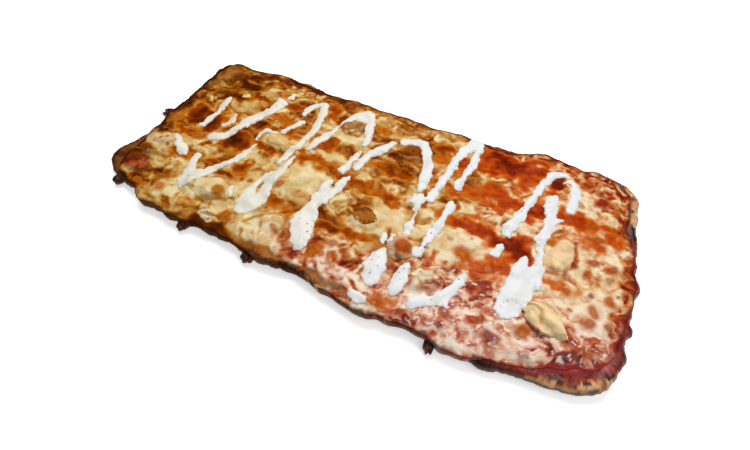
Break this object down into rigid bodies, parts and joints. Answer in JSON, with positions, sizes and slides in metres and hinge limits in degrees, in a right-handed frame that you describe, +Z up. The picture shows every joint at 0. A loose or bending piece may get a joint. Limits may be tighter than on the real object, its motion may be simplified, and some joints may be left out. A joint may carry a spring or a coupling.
{
  "type": "flatbread pizza",
  "caption": "Oblong baked flatbread with tomato sauce, melted browned cheese, chicken chunks and a thick white drizzle, lying flat.",
  "frame": {"origin": "on the flat underside, below the middle of the bread's body", "axes": "+X along the bread's length, +Y across it, +Z up through the toppings"},
  "size_m": [0.3563, 0.1605, 0.0173],
  "materials": {
    "crust": "baked dough, browned, charred in places, matt",
    "sauce": "thin cooked tomato sauce, moist",
    "cheese": "melted cheese, browned blisters, orange oil stains, glossy",
    "drizzle": "thick white dressing with fine herb specks, satin",
    "chicken": "cooked chicken, fibrous, slightly browned"
  },
  "bodies": {
    "root": {"crust": "crust", "tomato_sauce": "sauce", "cheese": "cheese", "chicken_01": "chicken", "chicken_02": "chicken", "chicken_03": "chicken", "chicken_04": "chicken", "chicken_05": "chicken", "chicken_06": "chicken", "chicken_07": "chicken", "chicken_08": "chicken", "chicken_09": "chicken", "chicken_10": "chicken", "chicken_11": "chicken", "chicken_12": "chicken", "chicken_13": "chicken", "chicken_14": "chicken", "chicken_15": "chicken", "chicken_16": "chicken"}
  },
  "joints": []
}
